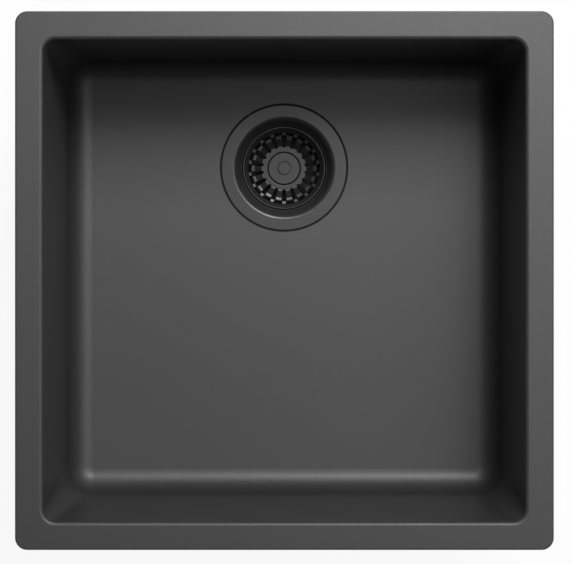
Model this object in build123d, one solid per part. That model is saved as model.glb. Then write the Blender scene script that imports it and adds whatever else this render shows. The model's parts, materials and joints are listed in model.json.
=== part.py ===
from build123d import *
import math
import os

# Bowl, in millimetres and degrees
RIM_SIZE = 440.0
RIM_WIDTH = 23.0
RIM_THICKNESS = 9.0
RIM_CORNER_RADIUS = 10.0
RIM_EDGE_RADIUS = 1.5
RIM_ROOT_RADIUS = 5.0
BOWL_DEPTH = 190.0
WALL_THICKNESS = 8.0
FLOOR_THICKNESS = 10.0
WALL_DRAFT = 1.6
MOUTH_CORNER_RADIUS = 10.0
FLOOR_CORNER_RADIUS = 24.0
MOUTH_EDGE_RADIUS = 3.0
FLOOR_EDGE_RADIUS = 20.0
FLOOR_FALL = 0.5
WASTE_SHELF = 16.0

# Strainer basket
BASKET_RADIUS = 36.9
BASKET_SHEET = 0.8
BASKET_RIM_DEPTH = 8.5
BASKET_RIM_ROUND = 0.2
BASKET_LIP = 1.5
UPPER_WALL_RUN = 3.6
UPPER_WALL_DROP = 7.4
UPPER_LEDGE_RUN = 2.6
UPPER_LEDGE_DROP = 0.5
RISER_RUN = 0.6
RISER_DROP = 1.4
LOWER_LEDGE_RUN = 2.7
LOWER_LEDGE_DROP = 0.5
LOWER_WALL_RUN = 5.9
LOWER_WALL_DROP = 8.2
BASKET_BEND = 1.6
RISER_BEND = 1.0
DISH_DEPTH = 5.0
DISH_BEND = 0.95
SLOT_COUNT = 18
SLOT_BITE = 1.9
SLOT_INNER_WIDTH = 2.8
SLOT_OUTER_WIDTH = 5.2
WINDOW_WIDTH = 8.0

# Knob on its stem
KNOB_RADIUS = 14.2
KNOB_GAP = 0.5
KNOB_PROUD = 2.0
KNOB_RIM_HEIGHT = 4.0
KNOB_EDGE_RADIUS = 0.4
NECK_RADIUS = 7.0
NECK_ROOT_RADIUS = 1.2
CAP_RADIUS = 5.5
CAP_GAP = 1.4
CAP_RECESS_DEPTH = 2.0
CAP_PROUD = 0.3
CAP_EDGE_RADIUS = 0.5
STEM_RADIUS = 2.5
STEM_CLEARANCE = 0.1
STEM_HEAD_RADIUS = 4.4
STEM_HEAD_HEIGHT = 2.4
STEM_HEAD_ROOM = 0.2
STEM_WASHER_RADIUS = 8.5
STEM_WASHER_THICKNESS = 0.8
STEM_TAIL = 0.6
SOCKET_FLATS = 3.0
SOCKET_DEPTH = 1.4

# Stopper under the basket
STOPPER_HUB_RADIUS = 10.0
STOPPER_HUB_HEIGHT = 4.5
STOPPER_THICKNESS = 2.5
SEAL_GAP = 3.1
SEAL_LIP = 4.0
SEAL_THICKNESS = 4.0
SEAL_FOOT = 3.5
SEAL_COLLAR = 0.8
NUT_FLATS = 8.0
NUT_HEIGHT = 4.0
NUT_ROOM = 0.5
SLEEVE_WALL = 2.0
SLEEVE_TOP = 1.5
SLEEVE_LIFT = 0.6
SLIT_COUNT = 4
SLIT_WIDTH = 1.2
SLIT_LENGTH = 6.0
RING_WIRE_RADIUS = 0.8
RING_GROOVE_DEPTH = 0.4
RING_RISE = 2.2

# Waste cup with its flange
CUP_SHEET = 1.2
CUP_STEP_GAP = 0.9
CUP_STEP_WIDTH = 1.5
CUP_STEP_DROP = 1.4
CUP_STEP_DEPTH = 9.0
CUP_MOUTH_FLARE = 4.6
CUP_TAPER = 2.6
CUP_LIP_RADIUS = 3.8
CUP_STEP_BEND = 0.8
CUP_SHOULDER_BEND = 1.5
CUP_BOTTOM_BEND = 3.0
FLANGE_WIDTH = 12.1
FLANGE_GAP = 1.8
RECESS_DEPTH = 3.0
FLANGE_EDGE_RADIUS = 0.3
HOLE_CLEARANCE = 0.3
DRAIN_MARGIN = 1.0
DRAIN_HUB_WIDTH = 2.5
SPOKE_COUNT = 4
SPOKE_WIDTH = 6.0
SEAL_RING_WIDTH = 8.5
SEAL_RING_CLEARANCE = 0.3

# Clamp screw that holds the waste together
CATCH_FIT = 0.15
CATCH_CLEARANCE = 0.6
CATCH_HEAD_HEIGHT = 4.6
CATCH_EDGE_RADIUS = 1.0
CLAMP_SCREW_RADIUS = 3.0
CLAMP_SCREW_SHORT = 1.0
CLAMP_SCREW_CLEARANCE = 0.1
CLAMP_WASHER_RADIUS = 8.5
CLAMP_WASHER_THICKNESS = 1.0
INSERT_RADIUS = 5.0
INSERT_LENGTH = 12.0

# Waste body under the bowl
GASKET_THICKNESS = 3.0
GASKET_WIDTH = 10.0
BODY_CLEARANCE = 2.0
BODY_WALL = 3.0
BODY_TAPER = 1.5
BODY_FLANGE_THICKNESS = 4.0
BODY_FLANGE_MARGIN = 1.0
BODY_UNDER_CUP = 4.0
BODY_JOINT_RISE = 6.0
FUNNEL_DROP = 14.0
FUNNEL_TOP_BEND = 9.0
FUNNEL_BOTTOM_BEND = 5.0
OUTLET_BORE_RADIUS = 20.0
OUTLET_RADIUS = 23.9
OUTLET_LENGTH = 26.0
BOSS_WALL = 3.0
BOSS_GAP = 1.0
BOSS_END = 3.0
RIB_COUNT = 3
RIB_THICKNESS = 2.5
RIB_HEIGHT = 9.0

# Distance within which two levels or radii count as the same
SAME = 0.01

# Bowl levels and sections
rim_top = RIM_THICKNESS
floor_level = rim_top - BOWL_DEPTH
opening_size = RIM_SIZE - 2 * RIM_WIDTH
draft_run = math.tan(math.radians(WALL_DRAFT))
fall_run = math.tan(math.radians(FLOOR_FALL))
floor_half = opening_size / 2 - BOWL_DEPTH * draft_run

# Basket radii and levels, measured from the waste axis and the floor of the bowl
basket_top = -BASKET_RIM_DEPTH
rim_inner = BASKET_RADIUS - BASKET_SHEET
ledge_outer = rim_inner - UPPER_WALL_RUN
riser_outer = ledge_outer - UPPER_LEDGE_RUN
riser_inner = riser_outer - RISER_RUN
ledge_inner = riser_inner - LOWER_LEDGE_RUN
disc_radius = ledge_inner - LOWER_WALL_RUN
dish_radius = KNOB_RADIUS + KNOB_GAP
lip_bottom = basket_top - BASKET_LIP
ledge_top = lip_bottom - UPPER_WALL_DROP
riser_top = ledge_top - UPPER_LEDGE_DROP
riser_bottom = riser_top - RISER_DROP
ledge_bottom = riser_bottom - LOWER_LEDGE_DROP
basket_floor = ledge_bottom - LOWER_WALL_DROP
basket_under = basket_floor - BASKET_SHEET
dish_floor = basket_floor - DISH_DEPTH
dish_under = dish_floor - BASKET_SHEET
slot_inner = disc_radius - SLOT_BITE

# Knob levels
knob_bottom = dish_floor + STEM_WASHER_THICKNESS
knob_top = basket_floor + KNOB_PROUD
cap_seat = knob_top - CAP_RECESS_DEPTH
stem_head_top = cap_seat - STEM_HEAD_ROOM
stem_head_seat = stem_head_top - STEM_HEAD_HEIGHT
stem_hole = STEM_RADIUS + STEM_CLEARANCE

# Stopper stack, from the basket down to the seat of the cup
hub_bottom = dish_under - STOPPER_HUB_HEIGHT
nut_top = hub_bottom - SLEEVE_TOP
nut_bottom = nut_top - NUT_HEIGHT
stem_end = nut_bottom - STEM_TAIL
catch_top = stem_end - CATCH_CLEARANCE
catch_bottom = catch_top - CATCH_HEAD_HEIGHT
seat_level = catch_bottom - CLAMP_WASHER_THICKNESS
sleeve_inner = NUT_FLATS / math.sqrt(3) + NUT_ROOM
sleeve_outer = sleeve_inner + SLEEVE_WALL
sleeve_bottom = catch_bottom + SLEEVE_LIFT
catch_radius = sleeve_inner - CATCH_FIT
groove_radius = sleeve_outer - RING_GROOVE_DEPTH
ring_level = sleeve_bottom + RING_RISE

# Waste cup radii and levels
throat_radius = BASKET_RADIUS + CUP_STEP_GAP
step_radius = throat_radius + CUP_STEP_WIDTH
mouth_radius = step_radius + CUP_MOUTH_FLARE
flange_radius = mouth_radius + FLANGE_WIDTH
recess_radius = flange_radius + FLANGE_GAP
hole_radius = mouth_radius + CUP_SHEET + HOLE_CLEARANCE
seat_radius = throat_radius - CUP_TAPER
cup_under = seat_level - CUP_SHEET
seal_outer = seat_radius - SEAL_GAP
plate_radius = seal_outer - SEAL_LIP
plate_bottom = seat_level + SEAL_THICKNESS
plate_top = plate_bottom + STOPPER_THICKNESS
foot_outer = seal_outer - SEAL_GAP / 2
foot_inner = foot_outer - SEAL_FOOT
drain_outer = foot_inner - DRAIN_MARGIN
drain_inner = CLAMP_WASHER_RADIUS + DRAIN_HUB_WIDTH
clamp_hole = CLAMP_SCREW_RADIUS + CLAMP_SCREW_CLEARANCE

# Waste body radii and levels
bowl_under = -FLOOR_THICKNESS
body_top = bowl_under - GASKET_THICKNESS
body_inner = throat_radius + CUP_SHEET + BODY_CLEARANCE
gasket_radius = hole_radius + GASKET_WIDTH
body_flange = gasket_radius + BODY_FLANGE_MARGIN
funnel_top = cup_under - BODY_UNDER_CUP
body_joint = funnel_top + BODY_JOINT_RISE
funnel_inner = body_inner - BODY_TAPER
funnel_bottom = funnel_top - FUNNEL_DROP
outlet_end = funnel_bottom - OUTLET_LENGTH
boss_top = cup_under - BOSS_GAP
boss_radius = INSERT_RADIUS + BOSS_WALL
insert_bottom = boss_top - INSERT_LENGTH
boss_bottom = insert_bottom - BOSS_END

waste_offset = floor_half - FLOOR_EDGE_RADIUS - WASTE_SHELF - recess_radius
waste_place = Pos(0, waste_offset, floor_level)


def turned(profile):
    """Solid of revolution about Z from a profile drawn as radius and level."""
    return revolve(Plane.XZ * profile, Axis.Z)


def outline(*points):
    """Flat face with straight sides through the given radius and level points."""
    return make_face(Polyline(*points, close=True))


def sheet(points, bends, thickness):
    """Profile of bent sheet: the path is its visible side, the thickness goes to the far side."""
    path = FilletPolyline(*points, radius=bends)
    return make_face(offset(path, thickness, side=Side.LEFT, closed=True))


def filled(points, bends):
    """Profile between a path with rounded corners and the axis."""
    path = FilletPolyline(*points, radius=bends)
    start = points[0]
    end = points[-1]
    rest = dict.fromkeys([end, (0, end[1]), (0, start[1]), start])
    return make_face([path, Polyline(*rest)])


def disc(radius, bottom, top):
    """Upright cylinder on the axis between two levels."""
    height = top - bottom
    return Pos(0, 0, bottom) * extrude(Circle(radius), height)


def ring(outer, inner, bottom, top):
    """Flat ring on the axis between two levels."""
    return disc(outer, bottom, top) - disc(inner, bottom, top)


def around(count, solid, first=0.0):
    """Copies of a solid spaced evenly about Z, the first one turned by an angle."""
    return [Rot(0, 0, first + turn * 360 / count) * solid for turn in range(count)]


def cavity_section(level, wall):
    """Rounded square of the bowl at a level, grown outwards by a wall."""
    depth = rim_top - level
    size = opening_size - 2 * depth * draft_run + 2 * wall
    corner_growth = (FLOOR_CORNER_RADIUS - MOUTH_CORNER_RADIUS) / BOWL_DEPTH
    corner = MOUTH_CORNER_RADIUS + depth * corner_growth + wall
    return Pos(0, 0, level) * RectangleRounded(size, size, corner)


def bowl_cavity():
    """Tapered hollow whose corners widen downwards, with a floor that falls to the waste."""
    reach = RIM_SIZE
    below = floor_level - FLOOR_THICKNESS
    hollow = loft([cavity_section(rim_top, 0), cavity_section(below, 0)], ruled=True)
    far_edge = floor_level + reach * fall_run
    deep = below - FLOOR_THICKNESS
    floor_profile = outline((0, floor_level), (reach, far_edge), (reach, deep), (0, deep))
    hollow = hollow - Pos(0, waste_offset, 0) * turned(floor_profile)
    floor_face = hollow.faces().sort_by(Axis.Z)[0]
    floor_edges = [edge for edge in floor_face.edges() if edge.geom_type != GeomType.LINE]
    return fillet(floor_edges, FLOOR_EDGE_RADIUS)


def bowl_outside():
    """Rim plate with the outside of the bowl below it."""
    under = floor_level - FLOOR_THICKNESS
    shell = loft([cavity_section(0, WALL_THICKNESS), cavity_section(under, WALL_THICKNESS)], ruled=True)
    under_face = shell.faces().sort_by(Axis.Z)[0]
    shell = fillet(under_face.edges(), FLOOR_EDGE_RADIUS + WALL_THICKNESS)
    plate = extrude(RectangleRounded(RIM_SIZE, RIM_SIZE, RIM_CORNER_RADIUS), RIM_THICKNESS)
    whole = plate + shell
    under_rim = whole.faces().filter_by_position(Axis.Z, -SAME, SAME)[0]
    root_edges = under_rim.inner_wires()[0].edges()
    return fillet(root_edges, RIM_ROOT_RADIUS)


def sink_bowl():
    bowl = bowl_outside() - bowl_cavity()
    top_face = bowl.faces().sort_by(Axis.Z)[-1]
    bowl = fillet(top_face.outer_wire().edges(), RIM_EDGE_RADIUS)
    top_face = bowl.faces().sort_by(Axis.Z)[-1]
    bowl = fillet(top_face.inner_wires()[0].edges(), MOUTH_EDGE_RADIUS)
    bowl = bowl - waste_place * disc(recess_radius, -RECESS_DEPTH, FLOOR_EDGE_RADIUS)
    bowl = bowl - waste_place * disc(hole_radius, -2 * FLOOR_THICKNESS, 0)
    return bowl


def flange_seal():
    outer = recess_radius - SEAL_RING_CLEARANCE
    return waste_place * ring(outer, outer - SEAL_RING_WIDTH, -RECESS_DEPTH, -CUP_SHEET)


def drain_cutter():
    """The openings in the bottom of the cup, parted by spokes."""
    below = cup_under - CUP_SHEET
    above = seat_level + CUP_SHEET
    cutter = ring(drain_outer, drain_inner, below, above)
    length = 2 * drain_outer
    spoke = Pos(drain_outer, 0, (below + above) / 2) * Box(length, SPOKE_WIDTH, above - below)
    return cutter - around(SPOKE_COUNT, spoke)


def waste_cup():
    points = [
        (flange_radius, 0),
        (mouth_radius, 0),
        (step_radius, -CUP_STEP_DEPTH),
        (throat_radius, -CUP_STEP_DEPTH - CUP_STEP_DROP),
        (seat_radius, seat_level),
        (0, seat_level),
    ]
    bends = [CUP_LIP_RADIUS, CUP_STEP_BEND, CUP_SHOULDER_BEND, CUP_BOTTOM_BEND]
    cup = turned(sheet(points, bends, CUP_SHEET))
    flange_edges = cup.edges().filter_by(GeomType.CIRCLE).sort_by(SortBy.RADIUS)[-2:]
    cup = fillet(flange_edges, FLANGE_EDGE_RADIUS)
    cup = cup - drain_cutter() - disc(clamp_hole, cup_under, seat_level)
    return waste_place * cup


def body_gasket():
    return waste_place * ring(gasket_radius, hole_radius, body_top, bowl_under)


def clamp_washer():
    top = seat_level + CLAMP_WASHER_THICKNESS
    return waste_place * ring(CLAMP_WASHER_RADIUS, clamp_hole, seat_level, top)


def hex_socket(top):
    """Cutter for the drive socket of a screw whose head ends at this level."""
    sketch = RegularPolygon(SOCKET_FLATS / math.sqrt(3), 6)
    return Pos(0, 0, top - SOCKET_DEPTH) * extrude(sketch, SOCKET_DEPTH)


def clamp_screw():
    head = disc(catch_radius, catch_bottom, catch_top)
    head = fillet(head.edges().sort_by(Axis.Z)[-1], CATCH_EDGE_RADIUS)
    shank = disc(CLAMP_SCREW_RADIUS, insert_bottom + CLAMP_SCREW_SHORT, catch_bottom)
    return waste_place * (head + shank - hex_socket(catch_top))


def thread_insert():
    return waste_place * ring(INSERT_RADIUS, clamp_hole, insert_bottom, boss_top)


def body_inside():
    """Hollow of the waste body, from its flange down through the spigot."""
    points = [
        (body_inner, body_top),
        (funnel_inner, funnel_top),
        (OUTLET_BORE_RADIUS, funnel_bottom),
        (OUTLET_BORE_RADIUS, outlet_end),
    ]
    return turned(filled(points, [FUNNEL_TOP_BEND, FUNNEL_BOTTOM_BEND]))


def body_shell():
    """Flange, wall, funnel and spigot round that hollow."""
    points = [
        (body_inner + BODY_WALL, body_top),
        (funnel_inner + BODY_WALL, funnel_top - BODY_WALL / 2),
        (OUTLET_RADIUS, funnel_bottom - BODY_WALL / 2),
        (OUTLET_RADIUS, outlet_end),
    ]
    bends = [FUNNEL_TOP_BEND + BODY_WALL, FUNNEL_BOTTOM_BEND - BODY_WALL / 2]
    outside = turned(filled(points, bends))
    outside = outside + disc(body_flange, body_top - BODY_FLANGE_THICKNESS, body_top)
    return outside - body_inside()


def waste_body():
    return waste_place * (body_shell() & disc(body_flange, body_joint, body_top))


def outlet_funnel():
    return waste_place * (body_shell() & disc(body_flange, outlet_end, body_joint))


def insert_bridge():
    """Boss for the insert, carried on ribs across the funnel."""
    rib = Pos(body_inner / 2, 0, boss_bottom + RIB_HEIGHT / 2) * Box(body_inner, RIB_THICKNESS, RIB_HEIGHT)
    bridge = disc(boss_radius, boss_bottom, boss_top) + around(RIB_COUNT, rib)
    bridge = bridge & body_inside()
    return waste_place * (bridge - disc(INSERT_RADIUS, insert_bottom, boss_top))


def slot_cutter():
    """One slot seen from above, with a round inner end, from the floor up across the lower ledge."""
    centre = slot_inner + SLOT_INNER_WIDTH / 2
    sketch = Pos(centre, 0) * Circle(SLOT_INNER_WIDTH / 2)
    sketch = sketch + make_face(
        Polyline(
            (centre, -SLOT_INNER_WIDTH / 2),
            (riser_inner, -SLOT_OUTER_WIDTH / 2),
            (riser_inner, SLOT_OUTER_WIDTH / 2),
            (centre, SLOT_INNER_WIDTH / 2),
            close=True,
        )
    )
    return Pos(0, 0, basket_under) * extrude(sketch, basket_top - basket_under)


def window_cutter():
    """One window seen from above, across the upper ledge."""
    length = ledge_outer - riser_outer
    sketch = Pos((ledge_outer + riser_outer) / 2, 0) * Rectangle(length, WINDOW_WIDTH)
    return Pos(0, 0, basket_under) * extrude(sketch, basket_top - basket_under)


def strainer_basket():
    points = [
        (rim_inner, basket_top),
        (rim_inner, lip_bottom),
        (ledge_outer, ledge_top),
        (riser_outer, riser_top),
        (riser_inner, riser_bottom),
        (ledge_inner, ledge_bottom),
        (disc_radius, basket_floor),
        (dish_radius, basket_floor),
        (dish_radius, dish_floor),
        (0, dish_floor),
    ]
    bends = [BASKET_BEND] * 2 + [RISER_BEND] * 2 + [BASKET_BEND] * 2 + [DISH_BEND] * 2
    basket = turned(sheet(points, bends, BASKET_SHEET))
    rim_edges = basket.edges().filter_by(GeomType.CIRCLE).sort_by(Axis.Z)[-2:]
    basket = fillet(rim_edges, BASKET_RIM_ROUND)
    half_pitch = 180 / SLOT_COUNT
    basket = basket - around(SLOT_COUNT, slot_cutter(), half_pitch)
    basket = basket - around(SLOT_COUNT, window_cutter())
    return waste_place * (basket - disc(stem_hole, dish_under, dish_floor))


def basket_knob():
    head_bottom = knob_top - KNOB_RIM_HEIGHT
    points = [
        (NECK_RADIUS, knob_bottom),
        (NECK_RADIUS, head_bottom),
        (KNOB_RADIUS, head_bottom),
        (KNOB_RADIUS, knob_top),
        (0, knob_top),
    ]
    bends = [NECK_ROOT_RADIUS, KNOB_EDGE_RADIUS, KNOB_EDGE_RADIUS]
    knob = turned(filled(points, bends))
    knob = knob - disc(CAP_RADIUS + CAP_GAP, cap_seat, knob_top)
    knob = knob - disc(STEM_HEAD_RADIUS + STEM_HEAD_ROOM, stem_head_seat, cap_seat)
    return waste_place * (knob - disc(stem_hole, knob_bottom, stem_head_seat))


def knob_cap():
    cap = disc(CAP_RADIUS, cap_seat, knob_top + CAP_PROUD)
    cap = fillet(cap.edges().sort_by(Axis.Z)[-1], CAP_EDGE_RADIUS)
    return waste_place * cap


def stem_screw():
    head = disc(STEM_HEAD_RADIUS, stem_head_seat, stem_head_top)
    shank = disc(STEM_RADIUS, stem_end, stem_head_seat)
    return waste_place * (head + shank - hex_socket(stem_head_top))


def stem_washer():
    return waste_place * ring(STEM_WASHER_RADIUS, stem_hole, dish_floor, knob_bottom)


def stopper_plate():
    shoulder = dish_under - STOPPER_THICKNESS / 2
    profile = outline(
        (stem_hole, dish_under),
        (STOPPER_HUB_RADIUS, dish_under),
        (STOPPER_HUB_RADIUS, shoulder),
        (plate_radius, plate_top),
        (plate_radius, plate_bottom),
        (plate_radius - SEAL_FOOT, plate_bottom),
        (STOPPER_HUB_RADIUS, hub_bottom),
        (stem_hole, hub_bottom),
    )
    return waste_place * turned(profile)


def stopper_seal():
    profile = outline(
        (foot_inner, seat_level),
        (foot_outer, seat_level),
        (seal_outer, plate_bottom),
        (seal_outer, plate_top),
        (seal_outer - SEAL_COLLAR, plate_top + SEAL_COLLAR),
        (plate_radius, plate_top + SEAL_COLLAR),
        (plate_radius, plate_bottom),
        (foot_inner, plate_bottom),
    )
    return waste_place * turned(profile)


def catch_sleeve():
    sleeve = disc(sleeve_outer, sleeve_bottom, hub_bottom)
    sleeve = sleeve - disc(sleeve_inner, sleeve_bottom, nut_top)
    sleeve = sleeve - disc(stem_hole, nut_top, hub_bottom)
    groove_bottom = ring_level - RING_WIRE_RADIUS
    groove_top = ring_level + RING_WIRE_RADIUS
    sleeve = sleeve - ring(sleeve_outer, groove_radius, groove_bottom, groove_top)
    slit = Box(2 * sleeve_outer, SLIT_WIDTH, SLIT_LENGTH)
    slit = Pos(sleeve_outer, 0, sleeve_bottom + SLIT_LENGTH / 2) * slit
    return waste_place * (sleeve - around(SLIT_COUNT, slit))


def catch_ring():
    return waste_place * Pos(0, 0, ring_level) * Torus(groove_radius + RING_WIRE_RADIUS, RING_WIRE_RADIUS)


def stem_nut():
    nut = Pos(0, 0, nut_bottom) * extrude(RegularPolygon(NUT_FLATS / math.sqrt(3), 6), NUT_HEIGHT)
    return waste_place * (nut - disc(STEM_RADIUS, nut_bottom, nut_top))


PIECES = [
    sink_bowl,
    flange_seal,
    waste_cup,
    body_gasket,
    waste_body,
    outlet_funnel,
    insert_bridge,
    thread_insert,
    clamp_washer,
    clamp_screw,
    strainer_basket,
    stem_washer,
    basket_knob,
    knob_cap,
    stem_screw,
    stopper_plate,
    stopper_seal,
    catch_sleeve,
    catch_ring,
    stem_nut,
]

os.makedirs("parts", exist_ok=True)
for piece in PIECES:
    export_step(piece(), f"parts/{piece.__name__}.step")
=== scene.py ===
import json
import math

import bmesh
import bpy
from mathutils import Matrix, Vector


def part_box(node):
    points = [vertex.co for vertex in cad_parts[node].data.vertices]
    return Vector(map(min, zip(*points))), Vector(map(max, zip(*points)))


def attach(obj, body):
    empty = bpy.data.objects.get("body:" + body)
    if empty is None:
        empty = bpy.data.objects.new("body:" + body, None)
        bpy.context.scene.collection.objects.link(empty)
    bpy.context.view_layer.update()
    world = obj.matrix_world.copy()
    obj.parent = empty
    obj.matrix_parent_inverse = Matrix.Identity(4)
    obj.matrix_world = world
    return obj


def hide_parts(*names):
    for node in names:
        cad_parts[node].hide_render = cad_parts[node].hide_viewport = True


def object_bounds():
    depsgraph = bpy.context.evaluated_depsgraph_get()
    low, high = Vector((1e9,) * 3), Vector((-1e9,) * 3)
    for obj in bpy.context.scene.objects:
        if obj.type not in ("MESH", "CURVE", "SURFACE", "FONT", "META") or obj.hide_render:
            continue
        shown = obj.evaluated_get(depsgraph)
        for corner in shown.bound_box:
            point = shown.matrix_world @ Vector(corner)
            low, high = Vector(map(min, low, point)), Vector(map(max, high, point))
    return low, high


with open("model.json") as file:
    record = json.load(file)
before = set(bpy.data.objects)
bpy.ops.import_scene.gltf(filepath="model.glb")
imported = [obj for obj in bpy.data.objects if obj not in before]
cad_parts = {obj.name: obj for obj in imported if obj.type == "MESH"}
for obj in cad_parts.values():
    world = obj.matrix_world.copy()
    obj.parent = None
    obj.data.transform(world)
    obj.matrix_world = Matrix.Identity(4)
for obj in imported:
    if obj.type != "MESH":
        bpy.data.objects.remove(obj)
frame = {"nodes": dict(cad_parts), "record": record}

cad_low, cad_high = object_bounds()

# Places in the frame, in metres
CUP_LOW, CUP_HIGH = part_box("waste_cup")
WASTE_CENTRE = (CUP_LOW + CUP_HIGH) / 2
RIM_TOP = cad_high.z
FLOOR_LEVEL = cad_low.z
MILLIMETRES_PER_METRE = 1000

# Thread on the spigot, for the nut of a trap
THREAD_PITCH = 0.002309
THREAD_DEPTH = 0.0012
THREAD_ROWS_PER_TURN = 12
THREAD_PLAIN_END = 0.0008
THREAD_RUN_OUT = 0.0025
SPIGOT_TOLERANCE = 0.00002
WELD_DISTANCE = SPIGOT_TOLERANCE / 4
UPRIGHT_LIMIT = 0.5
SHARP_ANGLE = math.radians(35)

# Noise: the range that most of its values lie in, and its octaves
NOISE_RANGE = (0.3, 0.7)
PLAIN_DETAIL = 1.0
USUAL_DETAIL = 2.0
CLOUDY_DETAIL = 3.0

# Composite of the bowl: grains per metre, relief in metres, shades as factors of the colour
COMPOSITE_COLOUR = (0.02, 0.02, 0.0203)
COMPOSITE_ROUGHNESS = (0.55, 0.63)
COMPOSITE_GLOSS = 0.71
COMPOSITE_COAT = 0.24
COMPOSITE_COAT_ROUGHNESS = 0.36
COMPOSITE_GRAINS = 2600.0
COMPOSITE_GRAIN_SHADES = (0.82, 1.18)
COMPOSITE_MOTTLES = 14.0
COMPOSITE_MOTTLE_SHADES = (0.97, 1.03)
COMPOSITE_SHEEN_GRAINS = 700.0
COMPOSITE_RELIEF_GRAINS = 1800.0
COMPOSITE_RELIEF = 0.00004

# Coated steel of the cup and the basket
COATING_COLOUR = (0.034, 0.034, 0.03468)
COATING_ROUGHNESS = (0.29, 0.35)
COATING_GLOSS = 0.43
COATING_RINGS = 5200.0
COATING_CLOUDS = 160.0
COATING_SHADES = (0.94, 1.06)
COATING_RELIEF = 0.000004

# Bare metals, with tool marks
BARE_METALS = {
    "plain_steel": dict(colour=(0.62, 0.62, 0.61), roughness=0.28),
    "insert_brass": dict(colour=(0.72, 0.55, 0.26), roughness=0.3),
}
METAL_RINGS = 3000.0
METAL_CLOUDS = 300.0
METAL_SHADES = (0.92, 1.05)
METAL_ROUGHNESS_SHARES = (0.8, 1.2)
METAL_RELIEF = 0.000004

# Moulded plastics and rubber
MOULDINGS = {
    "body_plastic": dict(
        colour=(0.72, 0.72, 0.71), roughness=0.45, gloss=0.5, grains=1500.0, relief=0.00003
    ),
    "stopper_plastic": dict(
        colour=(0.03, 0.03, 0.032), roughness=0.4, gloss=0.5, grains=1500.0, relief=0.00002
    ),
    "seal_rubber": dict(
        colour=(0.01, 0.01, 0.01), roughness=0.65, gloss=0.15, grains=1200.0, relief=0.00004
    ),
}
MOULDING_CLOUDS = 90.0
MOULDING_SHADES = (0.94, 1.06)
MOULDING_ROUGHNESS_SHARES = (0.88, 1.12)

# Photograph: its size and camera, and the pixels of the sink's centre and the point below the camera
IMAGE_WIDTH = 572
IMAGE_HEIGHT = 564
SENSOR_WIDTH = 36.0
PIXELS_PER_METRE_AT_RIM = 1225.5
CAMERA_ABOVE_RIM = 1.87
SINK_CENTRE_PIXEL = (284.4, 280.62)
PLUMB_PIXEL = (281.0, 236.0)

# Light: the fills stand round the sink, from the back right to the front right
LIGHT_TARGET = Vector((0.0, 0.0, 0.0))
KEY_PLACE = Vector((0.306, 0.969, 1.62))
KEY_SIZE = 0.686
KEY_POWER = 33.5
TOP_PLACE = Vector((0.79, 0.426, 2.40))
TOP_SIZE = 2.0
TOP_POWER = 23.5
WORLD_LEVEL = 0.05
FILL_POWERS = (3.8, 2.4, 1.6, 2.8)
FILL_FIRST_TURN = math.pi / 4
FILL_SIZE = 1.2
FILL_DISTANCE = 1.5
FILL_HEIGHT = -0.12

# Stage
STAGE_RADIUS = 12.0
STAGE_COVE = 1.5
STAGE_HEIGHT = 2.6
STAGE_SIDES = 96
STAGE_COVE_STEPS = 12
STAGE_WELD_DISTANCE = 0.0001
STAGE_WHITE = 0.9
STAGE_GLOW = 0.92


def new_material(name, colour, roughness, metallic=0.0):
    """A principled material, with its node tree and shader."""
    material = bpy.data.materials.new(name)
    material.use_nodes = True
    tree = material.node_tree
    shader = tree.nodes["Principled BSDF"]
    shader.inputs["Base Color"].default_value = (*colour, 1.0)
    shader.inputs["Roughness"].default_value = roughness
    shader.inputs["Metallic"].default_value = metallic
    return material, tree, shader


def add_node(tree, kind, **values):
    """A node with its properties set, or its inputs where a name is an input's."""
    node = tree.nodes.new(kind)
    for name, value in values.items():
        if hasattr(node, name):
            setattr(node, name, value)
        else:
            node.inputs[name].default_value = value
    return node


def object_place(tree):
    """The point on the surface, in metres in the part's frame."""
    return add_node(tree, "ShaderNodeTexCoord").outputs["Object"]


def noise(tree, place, scale, detail=USUAL_DETAIL):
    """Noise value from 0 to 1, with its grain about one over scale metres wide."""
    node = add_node(tree, "ShaderNodeTexNoise", Scale=scale, Detail=detail)
    tree.links.new(place, node.inputs["Vector"])
    return node.outputs["Fac"]


def waste_radius(tree, place):
    """Distance of a point from the axis of the waste."""
    shift = add_node(tree, "ShaderNodeVectorMath", operation="SUBTRACT")
    shift.inputs[1].default_value = WASTE_CENTRE
    tree.links.new(place, shift.inputs[0])
    flat = add_node(tree, "ShaderNodeVectorMath", operation="MULTIPLY")
    flat.inputs[1].default_value = (1.0, 1.0, 0.0)
    tree.links.new(shift.outputs["Vector"], flat.inputs[0])
    length = add_node(tree, "ShaderNodeVectorMath", operation="LENGTH")
    tree.links.new(flat.outputs["Vector"], length.inputs[0])
    return length.outputs["Value"]


def ring_noise(tree, place, scale, detail):
    """Noise value from 0 to 1 that changes only with the distance from the axis of the waste."""
    node = add_node(tree, "ShaderNodeTexNoise", noise_dimensions="1D", Scale=scale, Detail=detail)
    tree.links.new(waste_radius(tree, place), node.inputs["W"])
    return node.outputs["Fac"]


def spread(tree, value, limits):
    """Maps the main range of a noise value to two limits, clamped."""
    node = add_node(tree, "ShaderNodeMapRange")
    for name, limit in zip(("From Min", "From Max", "To Min", "To Max"), (*NOISE_RANGE, *limits)):
        node.inputs[name].default_value = limit
    tree.links.new(value, node.inputs["Value"])
    return node.outputs["Result"]


def combine(tree, operation, first, second):
    """Maths on two values, either of which may be a plain number."""
    node = add_node(tree, "ShaderNodeMath", operation=operation)
    for socket, value in zip(node.inputs, (first, second)):
        if isinstance(value, float):
            socket.default_value = value
        else:
            tree.links.new(value, socket)
    return node.outputs["Value"]


def tint(tree, shader, colour, factor):
    """Base colour multiplied by a value that varies over the surface."""
    node = add_node(tree, "ShaderNodeVectorMath", operation="SCALE")
    node.inputs[0].default_value = colour
    tree.links.new(factor, node.inputs["Scale"])
    tree.links.new(node.outputs["Vector"], shader.inputs["Base Color"])


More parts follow.
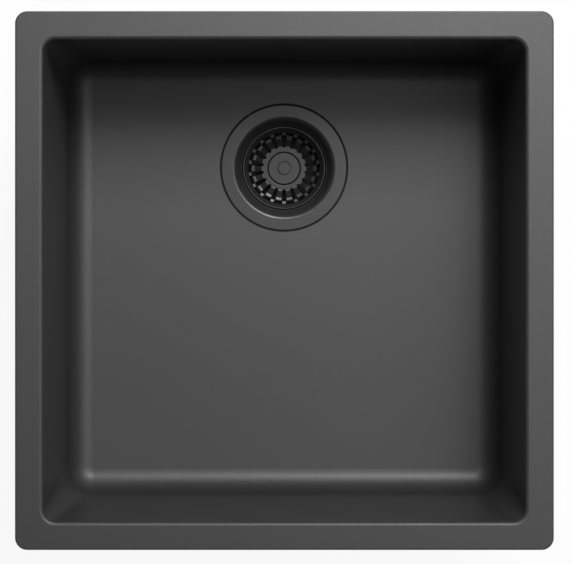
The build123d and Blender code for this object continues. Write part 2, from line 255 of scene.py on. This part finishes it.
def vary_roughness(tree, shader, value, limits):
    """Roughness that a noise value moves between two limits."""
    tree.links.new(spread(tree, value, limits), shader.inputs["Roughness"])


def bump(tree, shader, height, distance):
    """Small relief from a height value from 0 to 1, distance metres deep."""
    node = add_node(tree, "ShaderNodeBump", Distance=distance, Strength=1.0)
    tree.links.new(height, node.inputs["Height"])
    tree.links.new(node.outputs["Normal"], shader.inputs["Normal"])


def composite_material():
    """Moulded quartz composite: dark matt resin with fine lighter grains just under the surface."""
    material, tree, shader = new_material("composite", COMPOSITE_COLOUR, sum(COMPOSITE_ROUGHNESS) / 2)
    shader.inputs["Specular IOR Level"].default_value = COMPOSITE_GLOSS
    shader.inputs["Coat Weight"].default_value = COMPOSITE_COAT
    shader.inputs["Coat Roughness"].default_value = COMPOSITE_COAT_ROUGHNESS
    place = object_place(tree)
    grain = spread(tree, noise(tree, place, COMPOSITE_GRAINS, PLAIN_DETAIL), COMPOSITE_GRAIN_SHADES)
    mottle = spread(tree, noise(tree, place, COMPOSITE_MOTTLES, CLOUDY_DETAIL), COMPOSITE_MOTTLE_SHADES)
    tint(tree, shader, COMPOSITE_COLOUR, combine(tree, "MULTIPLY", grain, mottle))
    vary_roughness(tree, shader, noise(tree, place, COMPOSITE_SHEEN_GRAINS), COMPOSITE_ROUGHNESS)
    bump(tree, shader, noise(tree, place, COMPOSITE_RELIEF_GRAINS), COMPOSITE_RELIEF)
    return material


def coated_steel_material():
    """Pressed steel with a dark satin coating and faint rings from polishing on a spindle."""
    material, tree, shader = new_material("coated_steel", COATING_COLOUR, sum(COATING_ROUGHNESS) / 2)
    shader.inputs["Specular IOR Level"].default_value = COATING_GLOSS
    place = object_place(tree)
    rings = ring_noise(tree, place, COATING_RINGS, CLOUDY_DETAIL)
    clouds = noise(tree, place, COATING_CLOUDS, CLOUDY_DETAIL)
    tint(tree, shader, COATING_COLOUR, spread(tree, clouds, COATING_SHADES))
    vary_roughness(tree, shader, rings, COATING_ROUGHNESS)
    bump(tree, shader, rings, COATING_RELIEF)
    return material


def bare_metal_material(name, colour, roughness):
    """Turned metal with fine tool marks round the axis of the waste."""
    material, tree, shader = new_material(name, colour, roughness, metallic=1.0)
    place = object_place(tree)
    marks = ring_noise(tree, place, METAL_RINGS, USUAL_DETAIL)
    tint(tree, shader, colour, spread(tree, noise(tree, place, METAL_CLOUDS), METAL_SHADES))
    vary_roughness(tree, shader, marks, [roughness * share for share in METAL_ROUGHNESS_SHARES])
    bump(tree, shader, marks, METAL_RELIEF)
    return material


def moulded_material(name, colour, roughness, gloss, grains, relief):
    """Moulded plastic or rubber with an even fine texture from its mould."""
    material, tree, shader = new_material(name, colour, roughness)
    shader.inputs["Specular IOR Level"].default_value = gloss
    place = object_place(tree)
    texture = noise(tree, place, grains)
    clouds = noise(tree, place, MOULDING_CLOUDS, CLOUDY_DETAIL)
    tint(tree, shader, colour, spread(tree, clouds, MOULDING_SHADES))
    vary_roughness(tree, shader, texture, [roughness * share for share in MOULDING_ROUGHNESS_SHARES])
    bump(tree, shader, texture, relief)
    return material


def dress_nodes():
    """Gives each CAD node its material."""
    materials = {"composite": composite_material(), "coated_steel": coated_steel_material()}
    for slot, look in BARE_METALS.items():
        materials[slot] = bare_metal_material(slot, **look)
    for slot, look in MOULDINGS.items():
        materials[slot] = moulded_material(slot, **look)
    for part in frame["record"]["subparts"]:
        mesh = frame["nodes"][part["node"]].data
        mesh.materials.clear()
        mesh.materials.append(materials[part["material_slot"]])


def thread_radius(radius, turn, rise, length):
    """Radius of the spigot's thread at an angle and a height above its end."""
    wave = 0.5 - 0.5 * math.cos(2 * math.pi * rise / THREAD_PITCH - turn)
    lead_in = (rise - THREAD_PLAIN_END) / THREAD_RUN_OUT
    run_out = (length - rise - THREAD_PLAIN_END) / THREAD_RUN_OUT
    fade = max(0.0, min(1.0, lead_in, run_out))
    return radius - THREAD_DEPTH * wave * fade


def ring_edges(ring):
    """Edges between the points of a closed ring, taken in order round it."""
    pairs = zip(ring, ring[1:] + ring[:1])
    return [set(first.link_edges).intersection(second.link_edges).pop() for first, second in pairs]


def turn_of(vert, centre):
    """Angle of a point round the axis of the spigot."""
    return math.atan2(vert.co.y - centre.y, vert.co.x - centre.x)


def open_spigot(shape, centre, radius, length):
    """Takes off the plain outside of the spigot, and gives the rings of points at its bottom and top."""

    def on_spigot(vert):
        away = math.hypot(vert.co.x - centre.x, vert.co.y - centre.y) - radius
        rise = vert.co.z - centre.z
        return abs(away) < SPIGOT_TOLERANCE and -SPIGOT_TOLERANCE < rise < length + SPIGOT_TOLERANCE

    ends = sorted(filter(on_spigot, shape.verts), key=lambda vert: turn_of(vert, centre))
    upright = [face for face in shape.faces if abs(face.normal.z) < UPRIGHT_LIMIT]
    outside = [face for face in upright if all(map(on_spigot, face.verts))]
    bmesh.ops.delete(shape, geom=outside, context="FACES")
    bottom = [vert for vert in ends if vert.co.z < centre.z + length / 2]
    top = [vert for vert in ends if vert.co.z > centre.z + length / 2]
    return bottom, top


def cut_thread(shape, centre, radius, length):
    """Puts a threaded surface in place of the plain outside of the spigot."""
    bottom, top = open_spigot(shape, centre, radius, length)
    turns = [turn_of(vert, centre) for vert in bottom]
    rows = round(length / THREAD_PITCH * THREAD_ROWS_PER_TURN)
    below = bottom
    for row in range(1, rows):
        rise = length * row / rows
        level = []
        for turn in turns:
            reach = thread_radius(radius, turn, rise, length)
            across = centre.x + reach * math.cos(turn)
            along = centre.y + reach * math.sin(turn)
            level.append(shape.verts.new((across, along, centre.z + rise)))
        for side in range(len(level)):
            beyond = (side + 1) % len(level)
            shape.faces.new((below[side], below[beyond], level[beyond], level[side]))
        below = level
    bmesh.ops.bridge_loops(shape, edges=ring_edges(below) + ring_edges(top))


def threaded_outlet():
    """The funnel of the waste with the thread on its spigot."""
    mount = next(mount for mount in frame["record"]["mounts"] if mount["name"] == "waste_outlet")
    radius = mount["dims"]["r_mm"] / MILLIMETRES_PER_METRE
    length = mount["dims"]["length_mm"] / MILLIMETRES_PER_METRE
    node = frame["nodes"]["outlet_funnel"]
    shape = bmesh.new()
    shape.from_mesh(node.data)
    bmesh.ops.remove_doubles(shape, verts=shape.verts, dist=WELD_DISTANCE)
    cut_thread(shape, Vector(mount["pos_m"]), radius, length)
    bmesh.ops.recalc_face_normals(shape, faces=shape.faces)
    mesh = bpy.data.meshes.new("threaded_outlet")
    shape.to_mesh(mesh)
    shape.free()
    mesh.polygons.foreach_set("use_smooth", [True] * len(mesh.polygons))
    mesh.set_sharp_from_angle(angle=SHARP_ANGLE)
    mesh.materials.append(node.data.materials[0])
    outlet = bpy.data.objects.new("threaded_outlet", mesh)
    bpy.context.scene.collection.objects.link(outlet)
    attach(outlet, "sink")
    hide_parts("outlet_funnel")


def make_camera():
    """Camera that looks straight down, with the lens shifted as the photograph was framed."""
    data = bpy.data.cameras.new("camera")
    data.sensor_width = SENSOR_WIDTH
    data.lens = CAMERA_ABOVE_RIM * PIXELS_PER_METRE_AT_RIM * SENSOR_WIDTH / IMAGE_WIDTH
    data.shift_x = (IMAGE_WIDTH / 2 - PLUMB_PIXEL[0]) / IMAGE_WIDTH
    data.shift_y = (PLUMB_PIXEL[1] - IMAGE_HEIGHT / 2) / IMAGE_WIDTH
    camera = bpy.data.objects.new("camera", data)
    camera.location = (
        (PLUMB_PIXEL[0] - SINK_CENTRE_PIXEL[0]) / PIXELS_PER_METRE_AT_RIM,
        (SINK_CENTRE_PIXEL[1] - PLUMB_PIXEL[1]) / PIXELS_PER_METRE_AT_RIM,
        RIM_TOP + CAMERA_ABOVE_RIM,
    )
    bpy.context.scene.collection.objects.link(camera)
    bpy.context.scene.camera = camera


def add_area_light(name, place, target, size, power):
    """Square soft box at a place, turned to a target."""
    data = bpy.data.lights.new(name, "AREA")
    data.shape = "SQUARE"
    data.size = size
    data.energy = power
    lamp = bpy.data.objects.new(name, data)
    lamp.location = place
    lamp.rotation_mode = "QUATERNION"
    lamp.rotation_quaternion = (target - place).to_track_quat("-Z", "Y")
    bpy.context.scene.collection.objects.link(lamp)


def make_lights():
    """Soft boxes over the back and from above, low ones for the outside, and a dim room."""
    add_area_light("key", KEY_PLACE, LIGHT_TARGET, KEY_SIZE, KEY_POWER)
    add_area_light("top", TOP_PLACE, LIGHT_TARGET, TOP_SIZE, TOP_POWER)
    for number, power in enumerate(FILL_POWERS):
        turn = FILL_FIRST_TURN + 2 * math.pi * number / len(FILL_POWERS)
        place = Vector((FILL_DISTANCE * math.cos(turn), FILL_DISTANCE * math.sin(turn), FILL_HEIGHT))
        add_area_light(f"fill_{number}", place, Vector((0.0, 0.0, FILL_HEIGHT)), FILL_SIZE, power)
    world = bpy.data.worlds.new("room")
    world.use_nodes = True
    background = world.node_tree.nodes["Background"]
    background.inputs["Color"].default_value = (1.0, 1.0, 1.0, 1.0)
    background.inputs["Strength"].default_value = WORLD_LEVEL
    bpy.context.scene.world = world


def stage_material():
    """White paper that the camera and reflections see as white, with a faint shadow left in it."""
    material = bpy.data.materials.new("stage_white")
    material.use_nodes = True
    tree = material.node_tree
    tree.nodes.clear()
    output = add_node(tree, "ShaderNodeOutputMaterial")
    paper = add_node(tree, "ShaderNodeBsdfDiffuse", Color=(STAGE_WHITE, STAGE_WHITE, STAGE_WHITE, 1.0))
    glow = add_node(tree, "ShaderNodeEmission", Strength=1.0)
    path = add_node(tree, "ShaderNodeLightPath")
    seen = combine(tree, "MAXIMUM", path.outputs["Is Camera Ray"], path.outputs["Is Glossy Ray"])
    seen = combine(tree, "MAXIMUM", seen, path.outputs["Is Transmission Ray"])
    mix = add_node(tree, "ShaderNodeMixShader")
    tree.links.new(combine(tree, "MULTIPLY", seen, STAGE_GLOW), mix.inputs["Fac"])
    tree.links.new(paper.outputs["BSDF"], mix.inputs[1])
    tree.links.new(glow.outputs["Emission"], mix.inputs[2])
    tree.links.new(mix.outputs["Shader"], output.inputs["Surface"])
    return material


def make_stage():
    """Round floor that curves up into a wall."""
    profile = [(0.0, 0.0), (STAGE_RADIUS - STAGE_COVE, 0.0)]
    for step in range(1, STAGE_COVE_STEPS + 1):
        turn = math.pi / 2 * step / STAGE_COVE_STEPS
        radius = STAGE_RADIUS - STAGE_COVE + STAGE_COVE * math.sin(turn)
        profile.append((radius, STAGE_COVE * (1 - math.cos(turn))))
    profile.append((STAGE_RADIUS, STAGE_HEIGHT))
    shape = bmesh.new()
    verts = [shape.verts.new((radius, 0.0, height)) for radius, height in profile]
    edges = [shape.edges.new(pair) for pair in zip(verts, verts[1:])]
    bmesh.ops.spin(
        shape, geom=verts + edges, axis=(0, 0, 1), cent=(0, 0, 0), angle=2 * math.pi, steps=STAGE_SIDES
    )
    bmesh.ops.remove_doubles(shape, verts=shape.verts, dist=STAGE_WELD_DISTANCE)
    mesh = bpy.data.meshes.new("stage_floor")
    shape.to_mesh(mesh)
    shape.free()
    mesh.polygons.foreach_set("use_smooth", [True] * len(mesh.polygons))
    mesh.materials.append(stage_material())
    floor = bpy.data.objects.new("stage_floor", mesh)
    floor.location.z = FLOOR_LEVEL
    bpy.context.scene.collection.objects.link(floor)


bpy.context.scene.view_settings.view_transform = "Standard"
dress_nodes()
threaded_outlet()
make_camera()
make_lights()
make_stage()
